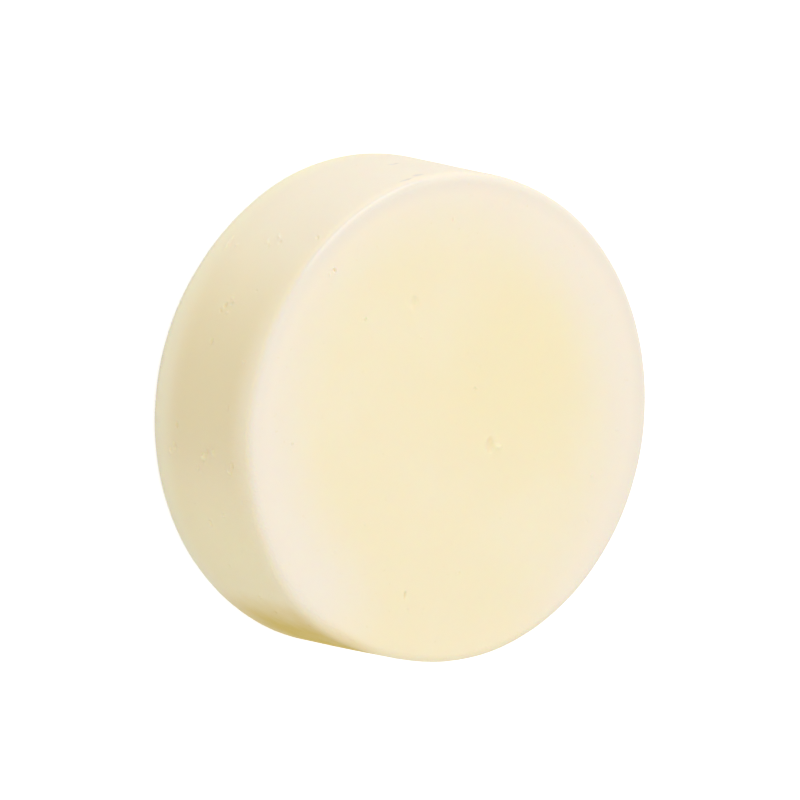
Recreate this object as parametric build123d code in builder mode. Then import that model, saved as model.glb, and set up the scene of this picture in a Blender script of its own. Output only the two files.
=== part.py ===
from build123d import *
from math import cos, radians, sin
import os

os.makedirs("parts", exist_ok=True)

# A cake of shaving soap, poured in a round mould and turned out by hand.
# It lies on its back face, with the face that the brush works at the top.
# Z is the cake's axis, and the origin is the middle of the back face.

# Driving dimensions, in mm
diameter = 76.0            # mean, across the cake
thickness = 25.4           # back face to working face
face_edge_radius = 1.0     # rounded rim of the working face
back_edge_radius = 1.6     # softer rim of the back face

# A hand-poured cake isn't quite round. The list goes once round it, starting at +X and turning
# towards +Y in equal steps, and says how far the wall stands out from the mean circle.
out_of_round = [-0.1, -0.2, 0.3, 0.0, -0.2, 0.1, -0.1, 0.2, -0.2, 0.0, 0.2, 0.3]

turn_step = 360 / len(out_of_round)
wall_radii = [diameter / 2 + amount for amount in out_of_round]
outline = [
    (radius * cos(radians(number * turn_step)), radius * sin(radians(number * turn_step)))
    for number, radius in enumerate(wall_radii)
]

# The cake: one closed outline raised to the full thickness, then both rims rounded
with BuildPart() as soap_puck:
    with BuildSketch(Plane.XY):
        with BuildLine():
            Spline(*outline, periodic=True)
        make_face()
    extrude(amount=thickness)
    fillet(soap_puck.faces().sort_by(Axis.Z)[-1].edges(), radius=face_edge_radius)
    fillet(soap_puck.faces().sort_by(Axis.Z)[0].edges(), radius=back_edge_radius)

soap_puck.part.label = "soap_puck"
export_step(soap_puck.part, "parts/soap_puck.step")
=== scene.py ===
import math
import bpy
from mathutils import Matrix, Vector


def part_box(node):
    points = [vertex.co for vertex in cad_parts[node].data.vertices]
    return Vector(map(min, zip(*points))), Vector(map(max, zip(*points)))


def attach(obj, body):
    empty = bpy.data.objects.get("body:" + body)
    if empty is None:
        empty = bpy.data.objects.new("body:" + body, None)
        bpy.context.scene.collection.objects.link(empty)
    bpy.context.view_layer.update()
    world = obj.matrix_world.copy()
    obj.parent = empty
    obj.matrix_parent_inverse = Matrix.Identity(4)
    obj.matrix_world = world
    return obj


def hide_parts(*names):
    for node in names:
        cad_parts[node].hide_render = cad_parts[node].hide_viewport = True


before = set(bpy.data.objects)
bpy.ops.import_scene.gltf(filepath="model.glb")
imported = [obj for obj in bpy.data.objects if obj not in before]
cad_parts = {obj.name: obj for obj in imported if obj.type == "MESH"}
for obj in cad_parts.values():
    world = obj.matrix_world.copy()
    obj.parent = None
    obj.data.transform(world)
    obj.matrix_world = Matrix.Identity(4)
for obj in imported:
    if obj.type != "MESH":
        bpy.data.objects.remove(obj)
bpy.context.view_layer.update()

from types import SimpleNamespace

import bpy
import numpy as np
from mathutils import Quaternion, Vector, noise

# A hand-poured cake of ivory shaving soap, lying on its back face.
# Lengths are in metres. A bearing is an angle round the cake, from +X towards +Y, in degrees.
# The wall near +X, turned from the lights, has amber shade painted into its colour, and paler colour
# is painted as light on the wall opposite.

MM = 0.001

# The CAD cake gives the size; how round the two rims are is set here
box_low, box_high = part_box("soap_puck")
thickness = box_high.z - box_low.z
mean_radius = (box_high.x - box_low.x + box_high.y - box_low.y) / 4
face_edge_radius = 1.5 * MM
back_edge_radius = 1.6 * MM

# How far each rim stands out from the mean circle, in equal steps of bearing from +X
face_out_of_round = [-0.5, 0.35, 0.7, 0.5, 0.1, 0.05, -0.05, 0.15, -0.2, -0.2, 0.2, 0.6]
back_out_of_round = [0.35, -0.1, 0.2, 0.0, -0.2, 0.1, 0.1, 0.2, 0.05, 0.25, 0.25, 0.2]

# How uneven the cake is otherwise
wall_waves = 0.07 * MM
face_sink = 0.12 * MM           # in the middle of the working face
face_ripples = 0.03 * MM
back_ripples = 0.02 * MM

# The fuller stretch of the working face's rim, with a pale line painted on it as the crest's
# highlight
crest_bearing = 226             # its middle
crest_height = 0.24 * MM

# The middle of the side turned from the lights, where amber shade is painted on the wall
shaded_side_bearing = 12

# The starting mesh, before it is smoothed twice
segments = 112
ring_shares = (0.72, 0.80, 0.87, 0.93, 1.0)    # of the mean radius
wall_rows = 9
edge_rows = 4


def deselect_all():
    bpy.ops.object.select_all(action="DESELECT")
    bpy.context.view_layer.objects.active = None


def smooth_step(low, high, value):
    """0 below low, 1 above high, and a smooth rise between; works on arrays."""
    share = np.clip((value - low) / (high - low), 0.0, 1.0)
    return share * share * (3.0 - 2.0 * share)


def on_bearing(bearing):
    """The flat outward way on this bearing."""
    return (math.cos(math.radians(bearing)), math.sin(math.radians(bearing)), 0)


# ---------------------------------------------------------------- the cake's starting shape


def select_rim(cake, height):
    """Selects the ring of edges where the wall meets the flat face at this height."""
    bpy.ops.mesh.select_all(action="DESELECT")
    bpy.ops.object.mode_set(mode="OBJECT")
    mesh = cake.data
    on_rim = [
        abs(v.co.z - height) < 0.1 * MM and v.co.xy.length > mean_radius - 0.1 * MM
        for v in mesh.vertices
    ]
    for edge in mesh.edges:
        edge.select = on_rim[edge.vertices[0]] and on_rim[edge.vertices[1]]
    bpy.ops.object.mode_set(mode="EDIT")
    bpy.ops.mesh.select_mode(type="EDGE")


def start_cake():
    """A disc of squares inside rings, raised row by row to a closed cylinder with rounded rims."""
    deselect_all()
    bpy.ops.mesh.primitive_circle_add(
        vertices=segments,
        radius=mean_radius * ring_shares[0],
        fill_type="NOTHING",
        location=(0, 0, box_low.z),
    )
    cake = bpy.context.object
    cake.name = "soap_cake"
    cake.data.name = "soap_cake"
    bpy.ops.object.mode_set(mode="EDIT")
    bpy.ops.mesh.select_mode(type="EDGE")
    bpy.ops.mesh.select_all(action="SELECT")
    bpy.ops.mesh.fill_grid(span=segments // 4)
    for inner, outer in zip(ring_shares, ring_shares[1:]):
        bpy.ops.mesh.select_all(action="SELECT")
        bpy.ops.mesh.region_to_loop()
        bpy.ops.mesh.extrude_edges_move()
        spread = outer / inner
        bpy.ops.transform.resize(value=(spread, spread, 1), center_override=(0, 0, box_low.z))
    bpy.ops.mesh.select_all(action="SELECT")
    for _ in range(wall_rows):
        bpy.ops.mesh.extrude_region_move(
            TRANSFORM_OT_translate={"value": (0, 0, thickness / wall_rows)}
        )
    for height, edge_radius in ((box_high.z, face_edge_radius), (box_low.z, back_edge_radius)):
        select_rim(cake, height)
        bpy.ops.mesh.bevel(offset=edge_radius, segments=edge_rows, profile=0.5)
    bpy.ops.mesh.select_all(action="SELECT")
    bpy.ops.mesh.remove_doubles(threshold=0.01 * MM)
    bpy.ops.mesh.normals_make_consistent(inside=False)
    bpy.ops.object.mode_set(mode="OBJECT")
    bpy.ops.object.transform_apply(location=True, rotation=True, scale=True)
    smoother = cake.modifiers.new("smoother", "SUBSURF")
    smoother.levels = smoother.render_levels = 2
    bpy.ops.object.modifier_apply(modifier=smoother.name)
    return cake


# ---------------------------------------------------------------- marks left by pouring and handling

# Each mark is (place, length, width, turn, depth) in mm and degrees. On a face the place is X and Y;
# on the wall it is bearing and height above the back face. Depth below zero stands proud. Turn is
# the way that the length runs, from X on a face and from level on the wall.
face_marks = [
    ((2.4, 8.5), 2.8, 1.8, 10, 0.34),
    ((2.4, 10.1), 1.9, 1.3, 90, -0.24),
    ((-5.4, 3.3), 0.9, 0.6, 70, 0.16),
    ((-9.0, 3.2), 0.7, 0.5, 0, -0.08),
    ((-16.0, -11.9), 2.6, 2.1, 20, 0.19),
    ((-18.1, -28.2), 0.9, 0.6, 50, 0.32),
    ((-17.3, -29.0), 0.7, 0.5, 0, -0.22),
    ((-11.9, -20.3), 0.7, 0.5, 0, 0.22),
    ((9.0, -28.4), 0.6, 0.5, 0, 0.18),
    ((-11.2, -9.1), 0.6, 0.5, 0, -0.08),
    ((27.9, -1.0), 1.5, 0.5, 5, 0.26),
    ((30.1, 0.2), 0.8, 0.5, 30, 0.10),
    ((3.4, 28.9), 0.9, 0.7, 40, -0.14),
    ((-4.2, 31.7), 0.6, 0.5, 0, -0.10),
    ((-29.6, -8.4), 0.8, 0.4, 10, 0.14),
    ((22.5, 8.3), 0.6, 0.5, 0, 0.10),
    ((18.3, -11.3), 0.7, 0.5, 60, -0.07),
    ((23.1, -15.6), 0.6, 0.5, 0, -0.08),
    ((10.4, 30.0), 0.7, 0.5, 0, 0.08),
]
wall_marks = [
    ((198.5, 12.6), 1.8, 0.9, 10, 0.12),
    ((207, 23.6), 1.8, 0.5, 0, 0.12),
    ((240.5, 4.3), 4.0, 0.6, 5, -0.20),
    ((241, 6.5), 0.8, 0.5, 0, -0.17),
    ((237.5, 15.4), 1.1, 0.7, 30, 0.24),
    ((238, 12.6), 1.8, 0.5, 20, -0.26),
    ((239.5, 13.8), 1.2, 0.5, 20, 0.14),
    ((236, 14.2), 1.5, 0.5, 50, -0.24),
    ((234, 22.6), 1.3, 0.6, 60, 0.24),
    ((256, 12.2), 1.1, 0.9, 0, 0.30),
    ((254, 12.9), 1.0, 0.5, 30, -0.20),
    ((257.5, 11.6), 1.0, 0.5, 40, 0.18),
    ((255.2, 13.5), 0.7, 0.5, 0, 0.22),
    ((257.6, 13.3), 0.8, 0.5, 0, -0.26),
    ((251, 17.5), 0.6, 0.5, 0, 0.12),
    ((265, 12.2), 1.5, 0.6, 0, 0.19),
    ((268, 21.1), 0.7, 0.6, 0, -0.25),
    ((279, 19.6), 1.3, 0.5, 0, 0.14),
    ((285.5, 6.9), 1.2, 0.9, 10, 0.24),
    ((290.5, 6.3), 1.6, 1.2, 20, 0.24),
    ((292, 5.0), 1.4, 0.7, 10, -0.34),
    ((291.5, 13.8), 1.3, 1.2, 0, -0.66),
    ((290, 14.6), 1.1, 0.6, 30, 0.17),
    ((290, 16.2), 1.9, 0.6, 0, -0.42),
    ((294.5, 11.9), 0.9, 0.7, 0, 0.14),
    ((292, 21.0), 1.4, 0.9, 10, 0.26),
    ((293.5, 20.2), 1.4, 0.6, 30, -0.46),
    ((300.5, 22.6), 1.5, 0.4, 0, 0.09),
    ((305, 16.4), 0.7, 0.6, 0, -0.42),
    ((308, 12.0), 1.2, 1.0, 0, 0.26),
    ((320, 11.8), 0.9, 0.7, 0, 0.14),
    ((329, 14.5), 0.8, 0.6, 0, -0.31),
    ((334.5, 15.1), 0.7, 0.6, 0, 0.17),
    ((327, 18.7), 0.7, 0.5, 0, -0.22),
    ((337.5, 21.6), 0.9, 0.5, 0, 0.17),
    ((12, 9.0), 1.1, 0.7, 15, 0.22),
    ((24, 17.5), 0.8, 0.6, 40, -0.25),
    ((37, 6.2), 1.4, 0.6, 5, 0.20),
    ((41, 20.4), 0.7, 0.5, 0, 0.18),
    ((58, 13.1), 1.2, 0.9, 25, 0.26),
    ((61, 14.4), 0.9, 0.5, 0, -0.24),
    ((77, 4.8), 2.4, 0.5, 3, -0.18),
    ((92, 18.9), 0.9, 0.7, 60, 0.24),
    ((104, 10.3), 0.8, 0.6, 0, 0.20),
    ((118, 15.8), 1.3, 0.5, 8, 0.20),
    ((121, 6.6), 0.7, 0.6, 0, -0.28),
    ((139, 21.3), 1.0, 0.5, 20, 0.18),
    ((152, 11.7), 1.1, 0.9, 0, 0.26),
    ((155, 12.9), 0.9, 0.5, 35, -0.22),
    ((171, 7.4), 0.8, 0.6, 0, 0.20),
]

# Painted shade for small pits on the wall, where the light falls too squarely for them to shade, each
# as (bearing, height above the back face, length, width), in degrees and mm
pit_shades = [(198.5, 12.6, 2.6, 0.8), (207, 23.4, 3.2, 0.6), (203, 22.8, 2.2, 1.4)]


def mark_frames():
    """Every mark as (centre, outward way, way along, way across, length, width, depth), in metres."""
    frames = []
    for (x, y), length, width, turn, depth in face_marks:
        way = Vector(on_bearing(turn))
        out = Vector((0, 0, 1))
        centre = Vector((x * MM, y * MM, box_high.z))
        frames.append((centre, out, way, out.cross(way), length * MM, width * MM, depth * MM))
    for (bearing, height), length, width, turn, depth in wall_marks:
        out = Vector(on_bearing(bearing))
        level = Vector(on_bearing(bearing + 90))
        way = Quaternion(out, math.radians(turn)) @ level
        centre = out * mean_radius + Vector((0, 0, box_low.z + height * MM))
        frames.append((centre, out, way, out.cross(way), length * MM, width * MM, depth * MM))
    return frames


def refine_near(cake, places):
    """Cuts the squares close to each (centre, reach) smaller, so that a mark has a shape to take."""
    mesh = cake.data
    middles = np.empty(len(mesh.polygons) * 3)
    mesh.polygons.foreach_get("center", middles)
    middles = middles.reshape(-1, 3)
    chosen = np.zeros(len(middles), bool)
    for centre, reach in places:
        chosen |= np.linalg.norm(middles - np.array(centre), axis=1) < reach
    bpy.ops.object.mode_set(mode="EDIT")
    bpy.ops.mesh.select_mode(type="FACE")
    bpy.ops.mesh.select_all(action="DESELECT")
    bpy.ops.object.mode_set(mode="OBJECT")
    mesh.polygons.foreach_set("select", chosen)
    bpy.ops.object.mode_set(mode="EDIT")
    bpy.ops.mesh.subdivide(number_cuts=1, smoothness=0)
    bpy.ops.object.mode_set(mode="OBJECT")


# ---------------------------------------------------------------- shaping in code


def rim_offset(amounts, bearings):
    """The rim's offset at each bearing, on a smooth closed curve through the amounts."""
    count = len(amounts)
    steps = bearings / 360.0 * count
    first = np.floor(steps).astype(int)
    share = steps - first
    values = np.array(amounts)
    before, here = values[(first - 1) % count], values[first % count]
    after, beyond = values[(first + 1) % count], values[(first + 2) % count]
    slope_here, slope_after = (after - before) / 2, (beyond - here) / 2
    return (
        (2 * share**3 - 3 * share**2 + 1) * here
        + (share**3 - 2 * share**2 + share) * slope_here
        + (3 * share**2 - 2 * share**3) * after
        + (share**3 - share**2) * slope_after
    )


def shape_cake(points):
    """Moves the points of the plain rounded cylinder to the shape of the poured cake."""
    radius = np.hypot(points[:, 0], points[:, 1])
    bearing = np.degrees(np.arctan2(points[:, 1], points[:, 0])) % 360.0
    height = points[:, 2] - box_low.z
    outward = points[:, :2] / np.maximum(radius, 1e-9)[:, None]

    # the two rims' outlines, with the wall straight between them and the faces drawn along
    up = height / thickness
    offset = (1 - up) * rim_offset(back_out_of_round, bearing)
    offset += up * rim_offset(face_out_of_round, bearing)
    radial = offset * MM * (radius / mean_radius) ** 2

    # slow unevenness of a wall that shrank from its mould
    wall_share = smooth_step(mean_radius - 3 * MM, mean_radius - 0.5 * MM, radius)
    waves = np.array([
        noise.noise(Vector(p) / (9 * MM)) + 0.35 * noise.noise(Vector(p) / (2.6 * MM))
        for p in points
    ])
    radial += wall_waves * waves * wall_share

    # the working face sinks a little in its middle, and both faces ripple slightly
    face_share = smooth_step(thickness - 1.5 * MM, thickness, height)
    back_share = 1 - smooth_step(0, 1.5 * MM, height)
    off_edge = smooth_step(0, 4 * MM, mean_radius - radius)
    rise = -face_sink * face_share * (1 - (radius / mean_radius) ** 2)
    rise += face_ripples * waves * face_share * off_edge
    rise += back_ripples * waves * back_share * off_edge
    rise = np.where(back_share > 0, np.maximum(rise, -height), rise)

    # the rounding of the working face's rim is a little fuller where the mould's lip was
    past_start = smooth_step(crest_bearing - 26, crest_bearing - 17, bearing)
    past_end = smooth_step(crest_bearing + 12, crest_bearing + 28, bearing)
    from_crest = (mean_radius - 0.35 * MM - radius) / (0.32 * MM)
    on_rounding = smooth_step(thickness - 1.2 * MM, thickness - 0.5 * MM, height)
    crest = past_start * (1 - past_end) * on_rounding * np.exp(-(from_crest**2))
    rise += crest_height * crest

    shaped = points.copy()
    shaped[:, :2] += outward * radial[:, None]
    shaped[:, 2] += rise
    return shaped


def press_marks(points, plain, frames):
    """Presses each pit in, and raises each crumb, along the surface's outward way."""
    # shares of the mark's half length and half width, from its middle outwards
    flat_until, flush_from = 0.25, 1.05
    lip_place, lip_width = 1.25, 0.28
    lip_height = 0.10       # of the mark's depth
    reach = 1.5 * MM        # above and below the surface, so that other surfaces stay as they are
    for centre, out, way, across, length, width, depth in frames:
        from_centre = plain - np.array(centre)
        along = from_centre @ np.array(way) / (length / 2)
        side = from_centre @ np.array(across) / (width / 2)
        on_surface = np.abs(from_centre @ np.array(out)) < reach
        distance = np.hypot(along, side)
        hollow = 1 - smooth_step(flat_until, flush_from, distance)
        lip = np.exp(-(((distance - lip_place) / lip_width) ** 2))
        push = np.where(on_surface, -depth * hollow + lip_height * abs(depth) * lip, 0)
        points += push[:, None] * np.array(out)
    return points


def make_cake():
    """The whole cake as one closed mesh, cut twice finer round each mark and then shaped."""
    cake = start_cake()
    frames = mark_frames()
    sizes = [(centre, length) for centre, _, _, _, length, _, _ in frames]
    for share, margin in ((0.9, 0.6 * MM), (0.6, 0.25 * MM)):
        refine_near(cake, [(centre, share * length + margin) for centre, length in sizes])
    mesh = cake.data
    plain = np.empty(len(mesh.vertices) * 3)
    mesh.vertices.foreach_get("co", plain)
    plain = plain.reshape(-1, 3)
    points = press_marks(shape_cake(plain), plain, frames)
    mesh.vertices.foreach_set("co", points.ravel())
    mesh.update()
    deselect_all()
    cake.select_set(True)
    bpy.context.view_layer.objects.active = cake
    bpy.ops.object.shade_smooth()
    return cake


# ---------------------------------------------------------------- materials


def math_node(tree, operation, first, second):
    """A Math node; each input is a number or another node's output."""
    node = tree.nodes.new("ShaderNodeMath")
    node.operation = operation
    for socket, value in zip(node.inputs, (first, second)):
        if isinstance(value, (int, float)):
            socket.default_value = value
        else:
            tree.links.new(value, socket)
    return node.outputs["Value"]


def vector_length(tree, x, y):
    """The length of the flat vector (x, y)."""
    joined = tree.nodes.new("ShaderNodeCombineXYZ")
    tree.links.new(x, joined.inputs["X"])
    tree.links.new(y, joined.inputs["Y"])
    length = tree.nodes.new("ShaderNodeVectorMath")
    length.operation = "LENGTH"
    tree.links.new(joined.outputs["Vector"], length.inputs[0])
    return length.outputs["Value"]


def dot_with(tree, place, way):
    """How far the place lies along this way."""
    node = tree.nodes.new("ShaderNodeVectorMath")
    node.operation = "DOT_PRODUCT"
    tree.links.new(place, node.inputs[0])
    node.inputs[1].default_value = way
    return node.outputs["Value"]


def fade(tree, value, start, end, low=0.0, high=1.0):
    """A smooth change from low at start to high at end."""
    node = tree.nodes.new("ShaderNodeMapRange")
    node.interpolation_type = "SMOOTHSTEP"
    tree.links.new(value, node.inputs["Value"])
    node.inputs["From Min"].default_value = start
    node.inputs["From Max"].default_value = end
    node.inputs["To Min"].default_value = low
    node.inputs["To Max"].default_value = high
    return node.outputs["Result"]


def noise_node(tree, place, grain_size, detail=2.0, roughness=0.5):
    """Noise whose grains are about this size."""
    node = tree.nodes.new("ShaderNodeTexNoise")
    tree.links.new(place, node.inputs["Vector"])
    node.inputs["Scale"].default_value = 1.0 / grain_size
    node.inputs["Detail"].default_value = detail
    node.inputs["Roughness"].default_value = roughness
    return node.outputs["Fac"]


def mix_colours(tree, share, first, second):
    """first where share is 0 and second where it is 1; each is a colour or another node's output."""
    node = tree.nodes.new("ShaderNodeMix")
    node.data_type = "RGBA"
    tree.links.new(share, node.inputs["Factor"])
    for socket, colour in ((node.inputs["A"], first), (node.inputs["B"], second)):
        if isinstance(colour, tuple):
            socket.default_value = (*colour, 1)
        else:
            tree.links.new(colour, socket)
    return node.outputs["Result"]


# Linear colours of the soap
heart_colour = (0.942, 0.829, 0.568)     # fresh, in the middle of the working face
cloud_colour = (0.942, 0.837, 0.596)     # faint paler clouds in it
warm_colour = (0.942, 0.824, 0.535)      # one warmer patch off its middle
lit_pale_colour = (0.917, 0.838, 0.698)       # painted light: paler by the working face's rim, where light comes through it, and on the wall's lit side at -X
rim_shade_colour = (0.840, 0.782, 0.672)       # painted shade on the working face's rim itself, where its rounding catches the side light
crest_highlight_colour = (0.905, 0.840, 0.725)     # painted highlight: the pale line along the crest
pit_shade_colour = (0.79, 0.740, 0.640)     # painted shade for small pits on the wall
fill_light_colour = (0.980, 0.862, 0.540)     # painted light on the wall next to the side turned from the lights, where the lamps don't reach
foot_light_colour = (0.985, 0.895, 0.660)      # painted light on the wall's foot, against the shade where it meets the floor
mid_wall_shade_colour = (0.865, 0.757, 0.477)      # painted shade on the middle of the wall's height
amber_shade_colour = (0.68, 0.490, 0.042)      # painted shade: the golden tone of the wall's side turned from the lights
pore_shade_colour = (0.86, 0.740, 0.470)       # painted shade in the floors of the finest pores


def product(tree, first, *others):
    """All the values multiplied together."""
    for other in others:
        first = math_node(tree, "MULTIPLY", first, other)
    return first


def measure_cake(tree):
    """Where a point is on the cake, as outputs that the shares of each tone are made from."""
    place = tree.nodes.new("ShaderNodeTexCoord").outputs["Object"]
    split = tree.nodes.new("ShaderNodeSeparateXYZ")
    tree.links.new(place, split.inputs["Vector"])
    x, y, z = split.outputs["X"], split.outputs["Y"], split.outputs["Z"]
    radius = vector_length(tree, x, y)
    inwards = math_node(tree, "SUBTRACT", mean_radius, radius)
    downwards = math_node(tree, "SUBTRACT", box_high.z, z)
    to_shaded_side = math_node(tree, "DIVIDE", dot_with(tree, place, on_bearing(shaded_side_bearing)), radius)
    return SimpleNamespace(
        place=place,
        x=x,
        y=y,
        z=z,
        downwards=downwards,                                    # from the working face
        from_rim=vector_length(tree, inwards, downwards),
        from_back_rim=vector_length(tree, inwards, z),
        on_wall=fade(tree, radius, mean_radius - 2.0 * MM, mean_radius - 0.7 * MM),
        off_shaded_side=fade(tree, to_shaded_side, 0.99, 0.72),                 # 0 on the side turned from the lights, 1 elsewhere
        waver=product(tree, noise_node(tree, place, 9 * MM), 4 * MM),   # 0 to 4 mm, 2 on average
    )


# Each of these gives the share of one tone, from 0 where there is none to 1 where it hides the rest


def warm_patch(tree, at):
    """A patch a little way from the middle of each face."""
    across = math_node(tree, "ADD", at.x, 9 * MM)
    along = math_node(tree, "SUBTRACT", at.y, 10 * MM)
    return fade(tree, vector_length(tree, across, along), 22 * MM, 4 * MM)


def painted_mid_wall_shade(tree, at):
    """Painted shade on the middle of the wall's height, but not on the lit side, and less towards the
    side turned from the lights.
    """
    below_rim = fade(tree, at.downwards, 1.0 * MM, 6 * MM)
    above_foot = fade(tree, at.z, 2.5 * MM, 8 * MM)
    not_lit_side = fade(tree, at.x, -22 * MM, 2 * MM)
    less_by_shaded_side = fade(tree, at.x, 8 * MM, 24 * MM, 1.0, 0.3)
    return product(tree, below_rim, above_foot, not_lit_side, less_by_shaded_side, at.on_wall)


def painted_fill_light(tree, at):
    """Painted light on the wall beside the amber shade, where the lamps don't reach."""
    by_shaded_side = fade(tree, at.x, 13 * MM, 27 * MM, 0.0, 0.6)
    return product(tree, by_shaded_side, at.on_wall, fade(tree, at.downwards, -1 * MM, 2.5 * MM))


def painted_light_band(tree, at):
    """Painted light: a wavering pale band round the working face, a little wall under it, and the
    wall's lit side at -X.
    """
    edge = math_node(tree, "ADD", at.from_rim, math_node(tree, "SUBTRACT", at.waver, 2 * MM))
    lopsided = product(tree, at.x, at.y, 5.5)
    edge = math_node(tree, "ADD", edge, lopsided)
    on_face = fade(tree, at.downwards, 1.1 * MM, 0.0)
    band = product(tree, fade(tree, edge, 15 * MM, 0.5 * MM), on_face)
    below_rim = product(tree, fade(tree, at.downwards, 4.5 * MM, 0.0, 0.0, 0.3), at.on_wall)
    by_rim = product(tree, math_node(tree, "MAXIMUM", band, below_rim), at.off_shaded_side)
    far_side = product(tree, fade(tree, at.x, -6 * MM, -36 * MM, 0.0, 0.8), at.on_wall)
    return math_node(tree, "MAXIMUM", by_rim, far_side)


def painted_foot_light(tree, at):
    """Painted light close to the back face's rim, against the shade where the wall meets the floor.
    """
    return product(tree, fade(tree, at.from_back_rim, 6 * MM, 1 * MM), at.off_shaded_side)


def painted_rim_shade(tree, at):
    """Painted shade on the working face's rounded rim, less and less towards the side turned from the
    lights.
    """
    near = fade(tree, at.from_rim, 3.8 * MM, 0.6 * MM)
    on_top = fade(tree, at.downwards, 1.2 * MM, 0.2 * MM)
    less_by_shaded_side = fade(tree, at.x, 38 * MM, -28 * MM, 0.1, 1.0)
    return product(tree, near, on_top, less_by_shaded_side)


def painted_crest_highlight(tree, at):
    """A painted highlight line on the rim's rounding, between two heights just below the working
    face.
    """
    along = fade(tree, dot_with(tree, at.place, on_bearing(crest_bearing)), 35 * MM, 36.8 * MM)
    above_lower_edge = fade(tree, at.downwards, 0.58 * MM, 0.40 * MM)
    below_upper_edge = fade(tree, at.downwards, 0.14 * MM, 0.28 * MM)
    return product(tree, along, above_lower_edge, below_upper_edge)


def painted_pit_shade(tree, at, bearing, height, length, width):
    """A small patch of painted pit shade at this place on the wall; sizes in mm."""
    side = product(tree, dot_with(tree, at.place, on_bearing(bearing + 90)), 2 / (length * MM))
    up = math_node(tree, "SUBTRACT", at.z, box_low.z + height * MM)
    up = product(tree, up, 2 / (width * MM))
    near = fade(tree, vector_length(tree, side, up), 1.2, 0.4)
    this_side = fade(tree, dot_with(tree, at.place, on_bearing(bearing)), 30 * MM, 34 * MM)
    return product(tree, near, this_side)


def amber_shade_patch(tree, at):
    """Painted amber shade low on the wall at +X, the side turned from the lights, with ragged sides,
    that sinks lower as it goes on past +X.
    """
    uneven = math_node(tree, "SUBTRACT", product(tree, at.waver, 0.8), 1.6 * MM)
    by_shaded_side = fade(tree, math_node(tree, "ADD", at.x, uneven), 32 * MM, 38 * MM)
    past = math_node(tree, "MAXIMUM", math_node(tree, "ADD", at.y, 8 * MM), 0.0)
    sunk = math_node(tree, "SUBTRACT", at.downwards, product(tree, past, 0.35))
    below_rim = fade(tree, sunk, -2.5 * MM, 5 * MM)
    above_foot = fade(tree, at.z, -6 * MM, 10 * MM)
    ragged = math_node(tree, "ADD", at.y, product(tree, at.waver, 3.0))
    return product(tree, by_shaded_side, at.on_wall, below_rim, above_foot, fade(tree, ragged, 26 * MM, 0.0))


def soap_colour(tree, at, pores):
    """The fresh heart's colour, with each tone in turn laid over what is there."""
    clouds = fade(tree, noise_node(tree, at.place, 17 * MM, detail=3.0), 0.38, 0.62)
    tones = [
        (clouds, cloud_colour),
        (warm_patch(tree, at), warm_colour),
        (painted_mid_wall_shade(tree, at), mid_wall_shade_colour),
        (painted_fill_light(tree, at), fill_light_colour),
        (painted_light_band(tree, at), lit_pale_colour),
        (painted_foot_light(tree, at), foot_light_colour),
        (painted_rim_shade(tree, at), rim_shade_colour),
        (painted_crest_highlight(tree, at), crest_highlight_colour),
    ]
    tones += [(painted_pit_shade(tree, at, *place_and_size), pit_shade_colour) for place_and_size in pit_shades]
    tones += [(amber_shade_patch(tree, at), amber_shade_colour), (pores, pore_shade_colour)]
    colour = heart_colour
    for share, tone in tones:
        colour = mix_colours(tree, share, colour, tone)
    return colour


def soap_bump(tree, at, pores):
    """Soft ripples, pores, and a fine grain, strongest on the wall under the rim at +X."""
    ripples = noise_node(tree, at.place, 2.2 * MM, detail=3.0, roughness=0.6)
    grain = noise_node(tree, at.place, 0.35 * MM, detail=2.0)
    under_rim = fade(tree, at.downwards, 9 * MM, 1 * MM, 0.8, 3.6)
    by_shaded_side = fade(tree, at.x, 0.0, 18 * MM, 0.25, 1.0)
    everywhere = 0.25
    coarse = math_node(tree, "ADD", product(tree, under_rim, at.on_wall, by_shaded_side), everywhere)
    height = math_node(tree, "ADD", ripples, product(tree, grain, coarse))
    height = math_node(tree, "SUBTRACT", height, pores)
    bump = tree.nodes.new("ShaderNodeBump")
    bump.inputs["Strength"].default_value = 0.35
    bump.inputs["Distance"].default_value = 0.10 * MM
    tree.links.new(height, bump.inputs["Height"])
    return bump.outputs["Normal"]


def soap_material():
    """Hard ivory soap: light goes a few millimetres into it, more red than blue."""
    material = bpy.data.materials.new("ivory_soap")
    material.use_nodes = True
    tree = material.node_tree
    soap = tree.nodes["Principled BSDF"]
    at = measure_cake(tree)
    # The pores are hollows in the bump, and their floors also get painted shade in the colour
    pores = fade(tree, noise_node(tree, at.place, 0.9 * MM), 0.68, 0.80, 0.0, 0.35)
    polish = noise_node(tree, at.place, 6 * MM, detail=4.0)
    tree.links.new(soap_colour(tree, at, pores), soap.inputs["Base Color"])
    tree.links.new(fade(tree, polish, 0.3, 0.7, 0.40, 0.55), soap.inputs["Roughness"])
    tree.links.new(soap_bump(tree, at, pores), soap.inputs["Normal"])
    soap.subsurface_method = "RANDOM_WALK"
    soap.inputs["Subsurface Weight"].default_value = 0.5
    soap.inputs["Subsurface Radius"].default_value = (1.0, 0.7, 0.35)
    soap.inputs["Subsurface Scale"].default_value = 3 * MM
    soap.inputs["Specular IOR Level"].default_value = 0.4
    return material


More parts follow.
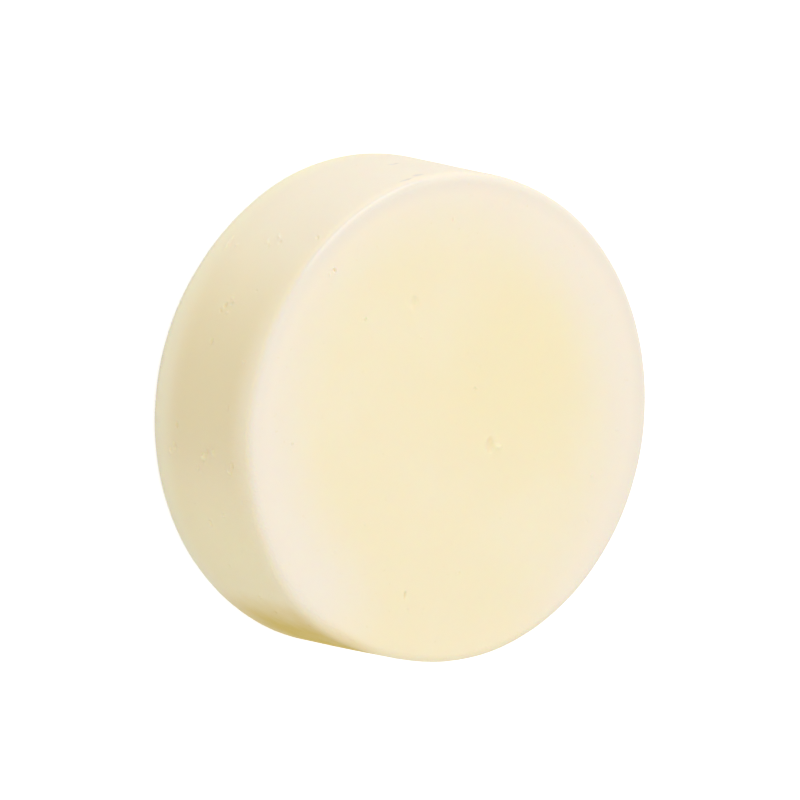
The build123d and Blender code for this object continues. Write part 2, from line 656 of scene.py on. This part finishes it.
def floor_material():
    """A white table top that looks evenly bright but throws back only its share of the light."""
    material = bpy.data.materials.new("white_table")
    material.use_nodes = True
    table = material.node_tree.nodes["Principled BSDF"]
    table.inputs["Base Color"].default_value = (0.8, 0.8, 0.8, 1)
    table.inputs["Roughness"].default_value = 0.9
    table.inputs["Specular IOR Level"].default_value = 0.0
    table.inputs["Emission Color"].default_value = (1, 1, 1, 1)
    seen = material.node_tree.nodes.new("ShaderNodeLightPath").outputs["Is Camera Ray"]
    glow = math_node(material.node_tree, "MULTIPLY", seen, 0.55)
    material.node_tree.links.new(glow, table.inputs["Emission Strength"])
    return material


# ---------------------------------------------------------------- floor, light and camera


def make_floor():
    """A wide table top, a hair below the back face so that the two don't share a plane."""
    deselect_all()
    gap = 0.05 * MM
    bpy.ops.mesh.primitive_plane_add(size=6.0, location=(0, 0, box_low.z - gap))
    floor = bpy.context.object
    floor.name = "floor"
    floor.data.materials.append(floor_material())


def soft_light(name, towards, power):
    """A square soft box that faces the cake from this way, with its power in watts."""
    distance = 0.8
    lamp = bpy.data.lights.new(name, "AREA")
    lamp.shape = "SQUARE"
    lamp.size = 0.6
    lamp.energy = power
    holder = bpy.data.objects.new(name, lamp)
    bpy.context.scene.collection.objects.link(holder)
    way = Vector(towards).normalized()
    holder.location = Vector((0, 0, box_low.z + thickness / 2)) + way * distance
    holder.rotation_euler = way.to_track_quat("Z", "Y").to_euler()


def light_scene():
    """Even light from all round, a soft box overhead and a stronger one to the side."""
    soft_light("overhead_box", (0, 0, 1), 0.63)
    soft_light("side_box", (-0.94, 0, 0.34), 1.6)
    world = bpy.data.worlds.new("studio")
    world.use_nodes = True
    tree = world.node_tree
    background = tree.nodes["Background"]
    background.inputs["Color"].default_value = (1.0, 0.985, 0.99, 1)
    even_light = 0.852      # a little less than the plain white that is seen behind the cake
    seen = tree.nodes.new("ShaderNodeLightPath").outputs["Is Camera Ray"]
    strength = math_node(tree, "MAXIMUM", seen, even_light)
    tree.links.new(strength, background.inputs["Strength"])
    bpy.context.scene.world = world
    bpy.context.scene.view_settings.view_transform = "Standard"


def make_camera():
    """A long lens well above the cake, turned on its own axis so that the cake seems to stand."""
    tilt_from_axis = 37.6
    roll = 103.1
    distance = 1.667
    aim = Vector((-0.25 * MM, 1.25 * MM, 0))    # left of and above the cake's middle, in the view
    tilt = math.radians(tilt_from_axis)
    away = Vector((0, -math.sin(tilt), math.cos(tilt)))
    turn = away.to_track_quat("Z", "Y") @ Quaternion((0, 0, 1), math.radians(roll))
    data = bpy.data.cameras.new("camera")
    data.lens = 489.0
    data.sensor_width = 36.0
    data.clip_start, data.clip_end = 0.05, 20.0
    camera = bpy.data.objects.new("camera", data)
    bpy.context.scene.collection.objects.link(camera)
    middle = Vector((0, 0, box_low.z + thickness / 2))
    camera.location = middle + away * distance + turn @ aim
    camera.rotation_mode = "QUATERNION"
    camera.rotation_quaternion = turn
    bpy.context.scene.camera = camera


cake = make_cake()
cake.data.materials.append(soap_material())
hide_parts("soap_puck")
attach(cake, "root")
make_floor()
light_scene()
make_camera()
